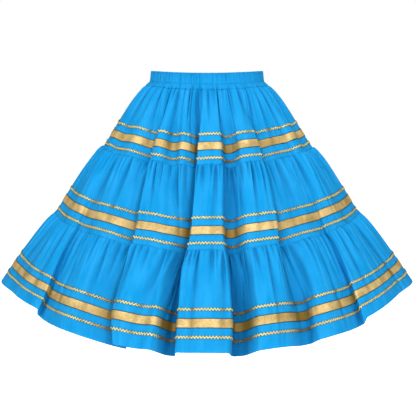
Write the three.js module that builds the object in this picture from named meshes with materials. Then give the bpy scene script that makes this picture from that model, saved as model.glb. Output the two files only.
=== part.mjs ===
// A square dance skirt of three gathered tiers on an elastic waistband, filled out as it is when worn.
// Each tier is a front and a back panel that meet at the side seams. A gold ribbon between two narrow
// braids runs round every tier, above its lower edge.
//
// Units are millimetres and degrees, +Z is up, +X is the wearer's left and -Y is the front. The origin is
// the middle of the waist opening, half way down the elastic casing.
//
// Two numbers place every point of the cloth: a column, counted round the skirt from the right hip over
// the front, and s, the distance down the cloth from the top edge of the waistband.
import * as THREE from "three";

const RADIANS = Math.PI / 180;

// The waist is an ellipse, and its front and back dip a little below its sides.
const WAIST = { halfWidth: 116, halfDepth: 86, dip: 5.6, originBelowRim: 17 };
const BAND = {
  casing: 22, // from the top edge to the row of stitches
  length: 34,
  casingSlope: 5,
  frillSlope: { front: 25, side: 50, back: 36 },
  wall: 3,
  edge: 4, // how far the rounding of the top edge and the dent of the stitches reach
  rounding: 0.8, // of the folded top edge
  stitchDepth: 0.9,
  columnStep: 2,
};

const CLOTH = 1.2; // wall of every panel
const SEAM_GAP = 0.3; // between pieces that are sewn together
const TRIM_LIFT = 0.3; // clear space under a ribbon or braid
const SPRING = 45; // how far below a gathered seam the cloth still springs outward
const HIP_LIFT = { azimuth: 64, width: 15, atHem: 18, power: 2.2 }; // the hem rides up over each hip
const CHORD = 100; // length of cloth over which a fold's outward direction is averaged
const MITRE_LIMIT = 0.45; // a mitred corner reaches at most 1 / 0.45 of the offset

// top and low are slopes from the vertical, below the tier's upper seam and further down. gather is the
// height of its gathers and how far down they reach. trims is how far its ribbon is above its lower edge,
// and rows are the distances below its upper seam at which the panel's cloth turns.
const TIERS = [
  {
    name: "upper",
    length: 157,
    top: { front: 31, side: 49, back: 40 },
    low: { front: 24, side: 32, back: 27 },
    gather: { height: 2.2, reach: 84 },
    trims: 37,
    rows: [0, 8, 34, 105],
  },
  {
    name: "middle",
    length: 168,
    top: { front: 33, side: 49, back: 39 },
    low: { front: 26, side: 31, back: 28 },
    gather: { height: 3.0, reach: 80 },
    trims: 37,
    rows: [0, 8, 34, 116],
  },
  {
    name: "lower",
    length: 188,
    top: { front: 39, side: 52, back: 43 },
    low: { front: 29, side: 35, back: 31 },
    gather: { height: 3.4, reach: 86 },
    trims: 51.5,
    rows: [0, 8, 34, 72, 121],
  },
];

const GATHERS = { risesWithin: 4, mean: 0.75, uneven: 0.25, unevenStep: 2.4 };
const RIBBON = { width: 18, thickness: 1.0 };
const BRAID = { width: 6, thickness: 1.2, fromRibbon: 24.5 };

// The large folds, one row for each valley, from the right hip round the front and the back.
// at: the azimuth of its bottom at the waist, at the upper, middle and lower ribbon and at the hem.
// depth: how far it dips below the smooth skirt at the ribbons and the hem.
// sharp: how much steeper the wall after it (+) or before it (-) is there.
// width: of each wall in degrees, at the lower ribbon. tuck: how far its bottom slides under the ridge
// beside its steep wall, as a share of its depth.
const VALLEYS = [
  { at: [-90, -90, -90, -90, -90], depth: [5, 8, 12, 14],
    sharp: [0, 0, 0, 0], width: 3.4, tuck: 0 },
  { at: [-76, -76, -73, -71, -70], depth: [7, 8, 9, 10],
    sharp: [0.4, 0.5, 0.3, 0.2], width: 3.4, tuck: 0.4 },
  { at: [-60, -60, -55, -50.5, -49.6], depth: [11, 14, 18, 20],
    sharp: [-0.6, -0.9, -1, -1], width: 4.2, tuck: 2.2 },
  { at: [-38, -36, -31.5, -30.2, -27.6], depth: [19, 22, 28, 33],
    sharp: [1, 1, 1, 0.9], width: 3.6, tuck: 0.7 },
  { at: [-23, -22, -15, -20, -21], depth: [12, 6, 3, 3],
    sharp: [0, 0, 0, 0], width: 3.0, tuck: 0 },
  { at: [-8, -7, -8.6, -9.9, -9.7], depth: [22, 25, 36, 41],
    sharp: [1, 1, 1, 0.9], width: 3.6, tuck: 0.7 },
  { at: [14, 15, 11.5, 9.8, 8.6], depth: [20, 22, 39, 43],
    sharp: [0, -0.1, -0.9, -0.8], width: 4.0, tuck: 0.5 },
  { at: [36, 35.6, 32.8, 29.8, 28.2], depth: [20, 20, 25, 29],
    sharp: [-1, -0.8, 0.9, 0.7], width: 3.4, tuck: 0.8 },
  { at: [53, 53, 48.3, 46, 44.8], depth: [11, 14, 19, 21],
    sharp: [0.6, 0.9, 1, 1], width: 3.8, tuck: 2.2 },
  { at: [72, 71, 68, 67, 67], depth: [7, 8, 9, 10],
    sharp: [-0.5, -0.4, -0.3, 0], width: 3.2, tuck: 0.4 },
  { at: [90, 90, 90, 90, 90], depth: [5, 8, 12, 14],
    sharp: [0, 0, 0, 0], width: 3.4, tuck: 0 },
  { at: [106, 105, 108, 109, 110], depth: [10, 14, 20, 23],
    sharp: [0.5, 0.8, 0.6, 0.4], width: 3.5, tuck: 0.8 },
  { at: [125, 123, 127, 128, 129], depth: [14, 18, 27, 31],
    sharp: [-0.8, -1, -0.9, -0.5], width: 3.7, tuck: 0.9 },
  { at: [141, 142, 144, 147, 146], depth: [16, 19, 24, 28],
    sharp: [0.2, 0.6, 0.9, 0.6], width: 3.4, tuck: 0.6 },
  { at: [157, 158, 161, 163, 165], depth: [17, 23, 36, 40],
    sharp: [0.9, 1, 1, 0.7], width: 3.6, tuck: 0.7 },
  { at: [175, 176, 178, 179, 181], depth: [20, 20, 26, 31],
    sharp: [-0.5, -0.8, -0.3, 0], width: 3.8, tuck: 0.5 },
  { at: [193, 192, 194, 196, 198], depth: [18, 24, 37, 42],
    sharp: [-0.9, -1, -1, -0.7], width: 3.5, tuck: 0.7 },
  { at: [211, 212, 210, 213, 215], depth: [19, 19, 26, 30],
    sharp: [0.4, 0.7, 0.4, 0], width: 3.6, tuck: 0.6 },
  { at: [228, 230, 228, 228, 227], depth: [14, 19, 29, 34],
    sharp: [0.7, 1, 0.8, 0.5], width: 3.6, tuck: 0.9 },
  { at: [248, 248, 249, 250, 251], depth: [11, 14, 20, 23],
    sharp: [-0.6, -0.8, -0.5, -0.2], width: 3.8, tuck: 0.7 },
];
const VALLEY_SPREAD = [1.6, 1.6, 1.3, 1, 1.1]; // the walls' width at each level, for a width of 1
const VALLEY_CURVE = 2.3; // 2 is a bell, and more has a flatter floor
const LOPSIDED = 0.75; // how unequal the two walls of a valley are where sharp is 1
const RIDGE_SWELL = 0.22; // a ridge stands out by this share of its valleys' depth
const FRONT_FOLDS = 10;
const COLUMNS_PER_FOLD = 6;
const COLUMNS = VALLEYS.length * COLUMNS_PER_FOLD;
const SIDE_SEAM = FRONT_FOLDS * COLUMNS_PER_FOLD; // the column of the seam at the left hip
const CROWDING = 0.09; // columns crowd towards the valleys, where the cloth turns sharply

// Each tier with the distances down the cloth at which it starts and ends.
let reached = BAND.length;
const tiers = TIERS.map((tier) => {
  const start = reached;
  reached += tier.length;
  return { ...tier, start, end: reached };
});
const HEM = reached;
const FOLD_LEVELS = [BAND.length, ...tiers.map((tier) => tier.end - tier.trims), HEM];

const lerp = (a, b, share) => a + (b - a) * share;

// The slope of the cloth from the vertical at distance s, down the front, side or back.
function slopeAt(s, meridian) {
  if (s < BAND.casing) return BAND.casingSlope;
  if (s < BAND.length) return BAND.frillSlope[meridian];
  const tier = tiers.find((one) => s < one.end) ?? tiers[tiers.length - 1];
  const spring = Math.exp(-(s - tier.start) / SPRING);
  return lerp(tier.low[meridian], tier.top[meridian], spring);
}

// How far the smooth cloth has gone out and down at every millimetre, down the front, side or back.
function meridianOf(name) {
  const steps = [{ out: 0, down: 0 }];
  for (let s = 0; s <= HEM; s++) {
    const slope = slopeAt(s, name) * RADIANS;
    const last = steps[s];
    steps.push({ out: last.out + Math.sin(slope), down: last.down + Math.cos(slope) });
  }
  return steps;
}

const MERIDIANS = { front: meridianOf("front"), side: meridianOf("side"), back: meridianOf("back") };

// How much of the cloth's length is taken up where the lowest tier rides up over the hips.
function takenUp(angle, s) {
  const lowest = tiers[tiers.length - 1];
  const share = Math.max(0, (s - lowest.start) / lowest.length);
  const fromHip = Math.asin(Math.abs(Math.sin(angle))) / RADIANS - HIP_LIFT.azimuth;
  return HIP_LIFT.atHem * share ** HIP_LIFT.power * Math.exp(-((fromHip / HIP_LIFT.width) ** 2));
}

// How far out and down the smooth cloth has gone at distance s, on the meridian at an angle.
function alongMeridian(angle, s) {
  const facing = Math.cos(angle) ** 2;
  const middle = Math.cos(angle) > 0 ? MERIDIANS.front : MERIDIANS.back;
  const inside = Math.min(Math.max(s, 0), HEM);
  const reach = inside - takenUp(angle, inside);
  const whole = Math.floor(reach);
  const at = (step) => ({
    out: lerp(MERIDIANS.side[step].out, middle[step].out, facing),
    down: lerp(MERIDIANS.side[step].down, middle[step].down, facing),
  });
  const a = at(whole);
  const b = at(whole + 1);
  return { out: lerp(a.out, b.out, reach - whole), down: lerp(a.down, b.down, reach - whole) };
}

// The smooth skirt at an azimuth and a distance down the cloth: its point, and the direction outward,
// which is square to a chord of the meridian so that it turns gently across the seams.
function smoothPoint(azimuth, s) {
  const angle = azimuth * RADIANS;
  const { out, down } = alongMeridian(angle, s);
  const above = alongMeridian(angle, s - CHORD / 2);
  const below = alongMeridian(angle, s + CHORD / 2);
  const slope = Math.atan2(below.out - above.out, below.down - above.down);
  const point = new THREE.Vector3(
    (WAIST.halfWidth + out) * Math.sin(angle),
    -(WAIST.halfDepth + out) * Math.cos(angle),
    WAIST.originBelowRim - down - WAIST.dip * Math.cos(angle) ** 2,
  );
  const outward = new THREE.Vector3(
    Math.sin(angle) * Math.cos(slope),
    -Math.cos(angle) * Math.cos(slope),
    Math.sin(slope),
  );
  return { point, outward };
}

// Reads a list of values, one for each fold level, in straight stretches.
function atFoldLevels(values, s) {
  let i = 0;
  while (i < FOLD_LEVELS.length - 2 && s > FOLD_LEVELS[i + 1]) i++;
  return lerp(values[i], values[i + 1], (s - FOLD_LEVELS[i]) / (FOLD_LEVELS[i + 1] - FOLD_LEVELS[i]));
}

// A valley at distance s: the azimuth of its bottom, its depth, the width of its walls before and after
// the bottom, and how far the bottom slides sideways.
function valleyAt(index, s) {
  const turns = Math.floor(index / VALLEYS.length);
  const row = VALLEYS[index - turns * VALLEYS.length];
  const unequal = LOPSIDED * atFoldLevels([0, ...row.sharp], s);
  const width = row.width * atFoldLevels(VALLEY_SPREAD, s);
  const depth = Math.max(0, atFoldLevels([0, ...row.depth], s));
  return {
    azimuth: atFoldLevels(row.at, s) + 360 * turns,
    depth,
    before: width * (1 + unequal),
    after: width * (1 - unequal),
    slide: (depth * row.tuck * unequal) / LOPSIDED,
  };
}

// Every second column is the crest of a gather. A gather starts from nothing in the seam, stands highest
// just below it and dies out at its reach, and no two are equally high.
function gatherAt(tier, column, s) {
  const below = s - tier.start;
  if (below <= 0 || below >= tier.gather.reach) return 0;
  const wander = Math.sin(GATHERS.unevenStep * column + tier.length);
  const height = tier.gather.height * (GATHERS.mean + GATHERS.uneven * wander);
  const rise = 1 - Math.exp(-below / GATHERS.risesWithin);
  const fall = (1 - below / tier.gather.reach) ** 2;
  return (column % 2 === 0 ? -1 : 1) * height * rise * fall;
}

// The outer face of the cloth at a column and a distance s: the smooth skirt, swollen on its ridges,
// with a bell-shaped dip at each valley.
function skirtPoint(column, s, gathered = true) {
  const fold = Math.floor(column / COLUMNS_PER_FOLD);
  const even = column / COLUMNS_PER_FOLD - fold;
  const share = even - CROWDING * Math.sin(2 * Math.PI * even);
  const first = valleyAt(fold, s);
  const second = valleyAt(fold + 1, s);
  const azimuth = lerp(first.azimuth, second.azimuth, share);
  const inFirst = Math.exp(-(((azimuth - first.azimuth) / first.after) ** VALLEY_CURVE));
  const inSecond = Math.exp(-(((second.azimuth - azimuth) / second.before) ** VALLEY_CURVE));
  const swell = RIDGE_SWELL * lerp(first.depth, second.depth, share) * Math.sin(Math.PI * share) ** 2;
  let height = swell - first.depth * inFirst - second.depth * inSecond;
  const tier = tiers.find((one) => s >= one.start && s <= one.end);
  if (tier && gathered) height += gatherAt(tier, column, s);
  const { point, outward } = smoothPoint(azimuth, s);
  const angle = azimuth * RADIANS;
  const sideways = new THREE.Vector3(Math.cos(angle), Math.sin(angle), 0);
  point.addScaledVector(sideways, first.slide * inFirst + second.slide * inSecond);
  return point.addScaledVector(outward, height);
}

// The way down the cloth across a seam, the same for the pieces above and below it.
function downAcross(column, s) {
  const reach = 6;
  const above = skirtPoint(column, Math.max(s - reach, 0), false);
  const below = skirtPoint(column, Math.min(s + reach, HEM), false);
  return below.sub(above);
}

// A stretch of the skirt between two distances: its outer points, row by row, and at each of them the
// outward normal, made longer where the cloth bends so that an offset keeps the wall's thickness.
function sheetOf(distances, columns, closed) {
  const points = distances.map((s) => columns.map((column) => skirtPoint(column, s)));
  const last = columns.length - 1;
  const beside = (j) => (closed ? (j + columns.length) % columns.length : Math.min(Math.max(j, 0), last));
  const normals = points.map((row, i) =>
    row.map((point, j) => {
      const inside = i > 0 && i < points.length - 1;
      const down = inside
        ? new THREE.Vector3().subVectors(points[i + 1][j], points[i - 1][j])
        : downAcross(columns[j], distances[i]);
      const toRight = new THREE.Vector3().subVectors(row[beside(j + 1)], point);
      const fromLeft = new THREE.Vector3().subVectors(point, row[beside(j - 1)]);
      const steps = [fromLeft, toRight].filter((step) => step.lengthSq() > 0);
      const faces = steps.map((step) => new THREE.Vector3().crossVectors(down, step).normalize());
      const normal = faces.reduce((sum, face) => sum.add(face), new THREE.Vector3()).normalize();
      return normal.multiplyScalar(1 / Math.max(MITRE_LIMIT, normal.dot(faces[0])));
    }),
  );
  return { points, normals };
}

const offsetPoints = (sheet, distance) =>
  sheet.points.map((row, i) =>
    row.map((point, j) => point.clone().addScaledVector(sheet.normals[i][j], distance)),
  );

// Joins an outer and an inner grid of points into one closed wall. Each cell is split along the diagonal
// that lies further in, or with bulge along the other one, so that a trim clears the panel under it. Both
// faces of the wall are split along the same diagonal, so that a twisted cell keeps its thickness.
function wallMesh(name, outer, inner, closed, material, bulge = false) {
  const rows = outer.length;
  const width = outer[0].length;
  const points = [...outer.flat(), ...inner.flat()];
  const behind = rows * width; // from a point's number to that of the point behind it
  const at = (i, j) => i * width + (closed ? j % width : j);
  const triangles = [];
  const addCell = (a, b, c, d) => triangles.push([a, b, c], [a, c, d]);
  const spans = closed ? width : width - 1;
  for (let i = 0; i < rows - 1; i++) {
    for (let j = 0; j < spans; j++) {
      const cell = [at(i, j), at(i + 1, j), at(i + 1, j + 1), at(i, j + 1)];
      const [a, b, c, d] = cell.map((k) => points[k]);
      const facing = new THREE.Vector3().crossVectors(c.clone().sub(a), d.clone().sub(b));
      const firstIsOuter = a.clone().add(c).sub(b).sub(d).dot(facing) > 0;
      const turned = firstIsOuter === bulge ? cell : [...cell.slice(1), cell[0]];
      addCell(...turned);
      const [start, ...others] = turned.map((k) => k + behind);
      addCell(start, ...others.reverse());
    }
  }
  const addEdge = (a, b) => addCell(a, b, b + behind, a + behind);
  for (let j = 0; j < spans; j++) {
    addEdge(at(0, j), at(0, j + 1));
    addEdge(at(rows - 1, j + 1), at(rows - 1, j));
  }
  for (let i = 0; i < rows - 1 && !closed; i++) {
    addEdge(at(i + 1, 0), at(i, 0));
    addEdge(at(i, width - 1), at(i + 1, width - 1));
  }
  const geometry = new THREE.BufferGeometry();
  const numbers = points.flatMap((point) => point.toArray());
  geometry.setAttribute("position", new THREE.Float32BufferAttribute(numbers, 3));
  geometry.setIndex(triangles.flat());
  geometry.computeVertexNormals();
  const mesh = new THREE.Mesh(geometry, material);
  mesh.name = name;
  return mesh;
}

const blueCloth = new THREE.MeshStandardMaterial({ color: 0x1e9fe8, roughness: 0.7, metalness: 0 });
const goldRibbon = new THREE.MeshStandardMaterial({ color: 0xdcb766, roughness: 0.4, metalness: 0.5 });
const goldBraid = new THREE.MeshStandardMaterial({ color: 0xd8b062, roughness: 0.6, metalness: 0.3 });

function columnsFrom(first, last, step = 1) {
  const columns = [];
  for (let column = first; column <= last; column += step) columns.push(column);
  return columns;
}

// The elastic casing and the short frill under its stitches: a soft ring with a rounded top edge.
function waistband() {
  const { casing, length, edge, rounding, stitchDepth, columnStep } = BAND;
  const distances = [0, edge, casing - edge, casing, casing + edge, length - SEAM_GAP / 2];
  const sheet = sheetOf(distances, columnsFrom(0, COLUMNS - 1, columnStep), true);
  const outer = offsetPoints(sheet, 0);
  const inner = offsetPoints(sheet, -BAND.wall);
  const pressIn = (grid, i, depth) =>
    grid[i].forEach((point, j) => point.addScaledVector(sheet.normals[i][j], -depth));
  pressIn(outer, 0, rounding);
  pressIn(inner, 0, -rounding);
  pressIn(outer, distances.indexOf(casing), stitchDepth);
  return wallMesh("waistband", outer, inner, true, blueCloth);
}

// The distances at which a tier's panels have a row of points, half a gap away from its two seams.
function rowsOf(tier) {
  const distances = tier.rows.map((below) => tier.start + Math.max(below, SEAM_GAP / 2));
  return [...distances, tier.end - SEAM_GAP / 2];
}

// The front or back panel of a tier. Its ends stop half a gap short of the side seams, where y is 0.
function panel(tier, half) {
  const isFront = half === "front";
  const columns = isFront ? columnsFrom(0, SIDE_SEAM) : columnsFrom(SIDE_SEAM, COLUMNS);
  const sheet = sheetOf(rowsOf(tier), columns, false);
  const outer = offsetPoints(sheet, 0);
  const inner = offsetPoints(sheet, -CLOTH);
  for (const row of [...outer, ...inner]) {
    row[0].y = (isFront ? -1 : 1) * (SEAM_GAP / 2);
    row[row.length - 1].y = row[0].y;
  }
  return wallMesh(tier.name + "_tier_" + half, outer, inner, false, blueCloth);
}

// A strip of trimming round a tier, centred on a distance down the cloth. Its two edges are points of
// the panels, part of the way from one of their rows to the next, moved out along their normals.
function strip(name, tier, centre, trim, material) {
  const rows = rowsOf(tier);
  const under = sheetOf(rows, columnsFrom(0, COLUMNS - 1), true);
  const blend = (grid, s) => {
    const i = rows.findLastIndex((row) => row <= s);
    const share = (s - rows[i]) / (rows[i + 1] - rows[i]);
    return grid[i].map((vector, j) => vector.clone().lerp(grid[i + 1][j], share));
  };
  const edges = [centre - trim.width / 2, centre + trim.width / 2];
  const sheet = {
    points: edges.map((s) => blend(under.points, s)),
    normals: edges.map((s) => blend(under.normals, s)),
  };
  const inner = offsetPoints(sheet, TRIM_LIFT);
  const outer = offsetPoints(sheet, TRIM_LIFT + trim.thickness);
  return wallMesh(name, outer, inner, true, material, true);
}

const skirt = new THREE.Group();
skirt.add(waistband());
for (const tier of tiers) {
  const middle = tier.end - tier.trims;
  skirt.add(panel(tier, "front"));
  skirt.add(panel(tier, "back"));
  skirt.add(strip(tier.name + "_ribbon", tier, middle, RIBBON, goldRibbon));
  skirt.add(strip(tier.name + "_braid_top", tier, middle - BRAID.fromRibbon, BRAID, goldBraid));
  skirt.add(strip(tier.name + "_braid_bottom", tier, middle + BRAID.fromRibbon, BRAID, goldBraid));
}

export default skirt;
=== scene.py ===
# %% [markdown]
# # A square dance skirt
# The skirt is three gathered tiers of blue cloth on an elastic waistband, with gold ribbon and rickrack
# round each tier. It stands filled out over air, as it does on a dancer with a full petticoat.
#
# Blender's cloth simulation could drape it, but the trims would then have to be fitted to the result. Here
# one formula gives every point of the cloth, so the panels, ribbons and stitches all agree. This cell loads
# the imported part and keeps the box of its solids.

import math
from functools import partial

import bpy
import numpy as np
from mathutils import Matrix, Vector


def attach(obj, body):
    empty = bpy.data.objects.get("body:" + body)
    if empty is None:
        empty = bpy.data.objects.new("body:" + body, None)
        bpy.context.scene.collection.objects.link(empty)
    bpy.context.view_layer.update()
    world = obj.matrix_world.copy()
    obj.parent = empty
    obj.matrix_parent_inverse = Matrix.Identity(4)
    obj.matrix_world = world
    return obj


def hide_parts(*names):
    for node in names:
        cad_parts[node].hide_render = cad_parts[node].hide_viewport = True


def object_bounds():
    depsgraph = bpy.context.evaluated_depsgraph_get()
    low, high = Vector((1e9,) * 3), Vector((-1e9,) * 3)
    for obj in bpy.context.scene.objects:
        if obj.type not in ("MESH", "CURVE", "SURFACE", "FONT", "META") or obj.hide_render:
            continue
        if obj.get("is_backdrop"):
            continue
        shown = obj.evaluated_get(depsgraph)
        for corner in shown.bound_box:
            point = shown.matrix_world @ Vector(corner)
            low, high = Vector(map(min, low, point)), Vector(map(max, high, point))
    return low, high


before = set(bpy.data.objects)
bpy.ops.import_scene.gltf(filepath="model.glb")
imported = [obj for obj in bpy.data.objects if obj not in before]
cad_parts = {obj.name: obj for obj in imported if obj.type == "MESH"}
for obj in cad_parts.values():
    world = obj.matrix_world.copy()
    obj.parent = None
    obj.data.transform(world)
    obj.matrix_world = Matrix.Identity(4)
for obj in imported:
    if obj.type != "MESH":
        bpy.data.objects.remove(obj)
cad_low, cad_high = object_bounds()
print("nodes:", ", ".join(sorted(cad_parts)))
print("box of the solids in metres:", [round(x, 3) for x in (*cad_low, *cad_high)])

# %% [markdown]
# ## Camera
# A skirt on show is best seen from close by and from waist height, so that its hem curves. A real lens is a
# focal length and a sensor width, and no shift or blur is needed. The camera looks slightly down.

# %% Set up the camera
CAMERA_PLACE = (0.0, -1.531, -0.023)
CAMERA_TILT, CAMERA_TURN = 9.22, -0.08  # degrees down, and to the left
camera_data = bpy.data.cameras.new("camera")
camera_data.sensor_width, camera_data.lens = 36.0, 62.74
camera = bpy.data.objects.new("camera", camera_data)
camera.location = CAMERA_PLACE
camera.rotation_euler = (math.radians(90 - CAMERA_TILT), 0, math.radians(CAMERA_TURN))
bpy.context.scene.collection.objects.link(camera)
bpy.context.scene.camera = camera
print("camera to waist:", round(-CAMERA_PLACE[1], 2), "m")

# %% [markdown]
# ## Light
# Cloth shows its folds when light comes mostly from the front and less from the sides. A large soft lamp
# stands high on the left of the camera and a weaker one on the right. A faint one fills in between them, and
# one overhead and one behind light the top and the back.

# %% Set up the lights
def soft_lamp(name, place, aim, size, watts):
    """A square area lamp at place that points at aim: its -Z axis follows the line between the two."""
    lamp = bpy.data.lights.new(name, "AREA")
    lamp.shape, lamp.size, lamp.energy = "SQUARE", size, watts
    thing = bpy.data.objects.new(name, lamp)
    place, aim = (np.array(p, float) for p in (place, aim))
    way = place - aim
    thing.location = place
    thing.rotation_euler = (math.acos(way[2] / np.linalg.norm(way)), 0, math.atan2(way[0], -way[1]))
    bpy.context.scene.collection.objects.link(thing)
    return thing


SKIRT_MIDDLE = (0, 0, -0.25)
lamps = [
    soft_lamp("left key lamp", (-1.4, -2.5, 1.2), SKIRT_MIDDLE, 0.9, 57),
    soft_lamp("right key lamp", (1.35, -2.5, 1.0), SKIRT_MIDDLE, 0.9, 44),
    soft_lamp("front lamp", (0.2, -2.7, 0.5), SKIRT_MIDDLE, 1.0, 8),
    soft_lamp("overhead lamp", (0, 0.3, 2.3), (0, 0.3, 0), 2.4, 62),
    soft_lamp("back lamp", (0.3, 2.9, 0.6), SKIRT_MIDDLE, 1.4, 34),
]
print(len(lamps), "lamps")

# %% [markdown]
# ## Studio
# The world is a white studio that is dimmer towards both sides, so that a fold that turns sideways grows
# darker. What the camera sees of it directly is plain white: the Light Path node tells that view from the
# light that falls on things.

# %% Paint the studio round the skirt
def set_sockets(node, **values):
    """Sets a node's sockets by name, with _ for a space."""
    for name, value in values.items():
        node.inputs[name.replace("_", " ")].default_value = value


world = bpy.data.worlds.new("white studio")
bpy.context.scene.world = world
world.use_nodes = True
nodes, links = world.node_tree.nodes, world.node_tree.links
nodes.clear()
direction = nodes.new("ShaderNodeTexCoord")
parts = nodes.new("ShaderNodeSeparateXYZ")
sideways = nodes.new("ShaderNodeMath")
sideways.operation = "ABSOLUTE"
shade = nodes.new("ShaderNodeMapRange")
set_sockets(shade, From_Min=0.2, From_Max=0.9, To_Min=0.2, To_Max=0.05)
seen = nodes.new("ShaderNodeLightPath")
choose = nodes.new("ShaderNodeMix")
set_sockets(choose, B=1.0)  # what the camera sees
background = nodes.new("ShaderNodeBackground")
set_sockets(background, Color=(1, 1, 1, 1))
world_out = nodes.new("ShaderNodeOutputWorld")
links.new(direction.outputs["Generated"], parts.inputs[0])
links.new(parts.outputs["X"], sideways.inputs[0])
links.new(sideways.outputs[0], shade.inputs["Value"])
links.new(seen.outputs["Is Camera Ray"], choose.inputs["Factor"])
links.new(shade.outputs[0], choose.inputs["A"])
links.new(choose.outputs["Result"], background.inputs["Strength"])
links.new(background.outputs[0], world_out.inputs[0])
bpy.context.scene.view_settings.view_transform = "Standard"
print("world:", world.name)

# %% [markdown]
# ## Floor
# The skirt is worn, so its waist is about a metre above the floor. The floor is one pale square, far
# enough below that no contact shadow shows.

# %% Lay the floor
FLOOR_HEIGHT, FLOOR_HALF = -1.02, 12.0
floor_mesh = bpy.data.meshes.new("floor")
square = np.array([(-1, -1), (1, -1), (1, 1), (-1, 1)]) * FLOOR_HALF
floor_mesh.from_pydata([(x, y, FLOOR_HEIGHT) for x, y in square], [], [(0, 1, 2, 3)])
floor = bpy.data.objects.new("floor", floor_mesh)
bpy.context.scene.collection.objects.link(floor)
floor_paint = bpy.data.materials.new("pale floor")
floor_paint.use_nodes = True
floor_shader = floor_paint.node_tree.nodes["Principled BSDF"]
set_sockets(floor_shader, Base_Color=(0.95, 0.95, 0.95, 1), Roughness=0.9)
set_sockets(floor_shader, Emission_Color=(1, 1, 1, 1), Emission_Strength=0.9)
floor_mesh.materials.append(floor_paint)
floor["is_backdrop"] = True
print("floor", -FLOOR_HEIGHT, "m below the waist")

# %% [markdown]
# ## The cut
# All sizes are in millimetres until a mesh is made. Distances are measured down the cloth from the top edge
# of the waistband, as a dressmaker's tape would, because cloth keeps its length when it is folded: only
# such a measure stays true on a slope. Each tier springs outward below its seam and then hangs more
# steeply, and its slopes from the vertical are given for the front, the side and the back.

# %% Write down the sizes
MM = 0.001
WAIST_HALF_WIDTH, WAIST_HALF_DEPTH = 116.0, 86.0
WAIST_DIP, RIM_HEIGHT = 5.6, 17.0
CASING, BAND_LENGTH = 22.0, 34.0
CASING_SLOPE, FRILL_SLOPE = 5.0, (25.0, 50.0, 36.0)
SPRING = 45.0
SEAM_GAP, SIDE_GAP = 0.3, 0.04
HEM = 547.0
HIP_LIFT, HIP_AZIMUTH, HIP_WIDTH, HIP_POWER = 18.0, 64.0, 15.0, 2.2

TIERS = {
    "upper": {"start": 34.0, "end": 191.0, "top": (31, 49, 40), "low": (24, 32, 27), "ribbon": 154.0},
    "middle": {"start": 191.0, "end": 359.0, "top": (33, 49, 39), "low": (26, 31, 28), "ribbon": 322.0},
    "lower": {"start": 359.0, "end": HEM, "top": (39, 52, 43), "low": (29, 35, 31), "ribbon": 495.5},
}
for name, tier in TIERS.items():
    print(name, "tier:", tier["end"] - tier["start"], "mm of cloth")

# %% [markdown]
# ## Down the cloth
# The skirt's section is found by walking down the cloth. Each millimetre goes out by the sine of its slope
# and down by the cosine, so running sums give the whole path, with the length of the cloth kept exactly.

# %% Follow the slopes down the cloth
SLOPE_REACH = 7


def moving_average(rows, reach, **edges):
    """Each row averaged over 2 * reach + 1 millimetres, with its ends first continued as np.pad says."""
    longer = np.pad(rows, ((0, 0), (reach, reach)), **edges)
    kernel = np.ones(2 * reach + 1) / (2 * reach + 1)
    return np.array([np.convolve(row, kernel, mode="valid") for row in longer])


def meridians():
    """How far the smooth cloth has gone out and down at each millimetre of its length: the running sums of
    sin(slope) and cos(slope), with the slope averaged over 15 mm. Rows: front, side and back."""
    s = np.arange(0, HEM + 1)
    slope = np.full((3, s.size), CASING_SLOPE)
    slope[:, s >= CASING] = np.array(FRILL_SLOPE)[:, None]
    for tier in TIERS.values():
        below = s >= tier["start"]
        top, low = (np.array(tier[k], float)[:, None] for k in ("top", "low"))
        slope[:, below] = low + (top - low) * np.exp(-(s[below] - tier["start"]) / SPRING)
    steps = np.radians(moving_average(slope, SLOPE_REACH, mode="edge"))
    start = np.zeros((3, 1))
    out = np.hstack([start, np.cumsum(np.sin(steps), axis=1)])
    down = np.hstack([start, np.cumsum(np.cos(steps), axis=1)])
    return np.arange(out.shape[1]), out, down


LENGTHS, OUT, DOWN = meridians()
print("smooth hem reaches", OUT[:, -1].round(), "mm out from the waist at front, side and back")

# %% [markdown]
# ## The smooth skirt
# Before it is folded, the skirt is a surface round an oval waist. Its radius grows by how far the cloth has
# gone out, and its height falls by how far it has gone down. Front and side values are mixed by the squared
# cosine of the azimuth, which is smooth all round. Each point also gets a direction outward, taken from a
# chord of 100 mm so that it turns gently across the seams.

# %% Place a point on the smooth skirt
CHORD = 100.0
OUTER_FOLDS, PLATEAU, STEEPNESS = (51.0, 46.6), (1.0, 0.45), 0.3


def hips_take_up(angle):
    """The share of HIP_LIFT that an angle has: exp(-((hip angle - 64) / 15)^2). In front it stays high up to
    the fold on each side, by PLATEAU * (1 - share) times a steep S curve, so the hem steps down there."""
    azimuth = np.degrees(np.arctan2(np.sin(angle), np.cos(angle)))
    from_hip = np.degrees(np.arcsin(np.clip(np.abs(np.sin(angle)), 0, 1))) - HIP_AZIMUTH
    share = np.exp(-((from_hip / HIP_WIDTH) ** 2))
    past_left, past_right = (
        height / (1 + np.exp(np.clip(way / STEEPNESS, -40, 40)))
        for height, way in zip(PLATEAU, (azimuth + OUTER_FOLDS[0], OUTER_FOLDS[1] - azimuth))
    )
    return share + (1 - share) * (past_left + past_right) * ((from_hip < 0) & (np.cos(angle) > 0))


def along_meridian(angle, s):
    """Out and down at distance s on the meridian at angle: side + (front or back - side) * cos(angle)^2,
    after the length that the hips take up in the lowest tier is left out."""
    lowest = TIERS["lower"]
    s = np.clip(s, 0, HEM)
    share = np.clip((s - lowest["start"]) / (HEM - lowest["start"]), 0, 1)
    reach = s - HIP_LIFT * share**HIP_POWER * hips_take_up(angle)
    facing = np.cos(angle) ** 2
    ahead = np.cos(angle) > 0
    out, down = (
        (1 - facing) * np.interp(reach, LENGTHS, table[1])
        + facing * np.where(ahead, np.interp(reach, LENGTHS, table[0]), np.interp(reach, LENGTHS, table[2]))
        for table in (OUT, DOWN)
    )
    return out, down


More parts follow.
